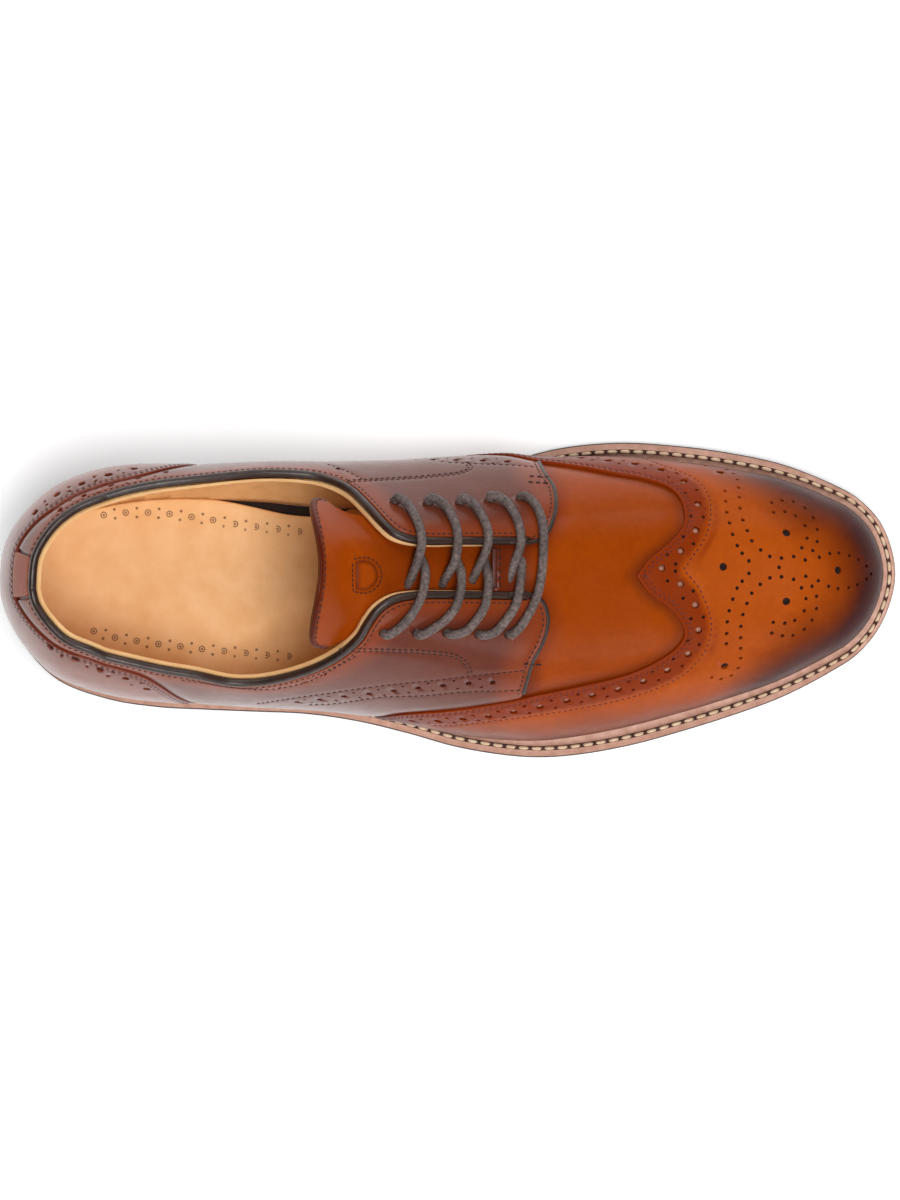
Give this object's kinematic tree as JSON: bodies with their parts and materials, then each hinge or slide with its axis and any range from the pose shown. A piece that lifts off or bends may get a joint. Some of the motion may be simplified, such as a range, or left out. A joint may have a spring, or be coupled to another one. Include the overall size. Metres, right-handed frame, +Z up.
{
  "type": "brogue shoe",
  "caption": "Wing-tip brogue derby for the right foot: punched leather upper, open lacing with round laces, stitched welt, arched leather sole and a stacked heel.",
  "frame": {"origin": "middle of the bounding box on the floor that the heel and the ball stand on", "axes": "+X towards the toe, +Y towards the medial side, +Z up"},
  "size_m": [0.3066, 0.1088, 0.1098],
  "materials": {
    "sole_leather": "burnished edge, plain underside",
    "welt_leather": "satin, stitched in cream thread",
    "heel_leather": "stacked and burnished",
    "heel_rubber": "matt",
    "lining_leather": "natural, worn satin",
    "vamp_leather": "burnished cognac, glossy",
    "wing_leather": "burnished red brown, glossy",
    "quarter_leather": "burnished dark brown, glossy",
    "binding_leather": "folded edge, satin",
    "lace_cord": "waxed round cord"
  },
  "bodies": {
    "root": {"outsole": "sole_leather", "welt": "welt_leather", "heel_block": "heel_leather", "heel_top_piece": "heel_rubber", "insole": "lining_leather", "upper": "vamp_leather", "wing_cap": "wing_leather", "heel_counter": "wing_leather", "back_strip": "quarter_leather", "quarter_medial": "quarter_leather", "quarter_lateral": "quarter_leather", "binding": "binding_leather", "tongue": "vamp_leather", "lace_bar_1": "lace_cord", "lace_crossing_2": "lace_cord", "lace_crossing_3": "lace_cord", "lace_crossing_4": "lace_cord", "lace_crossing_5": "lace_cord"}
  },
  "joints": []
}
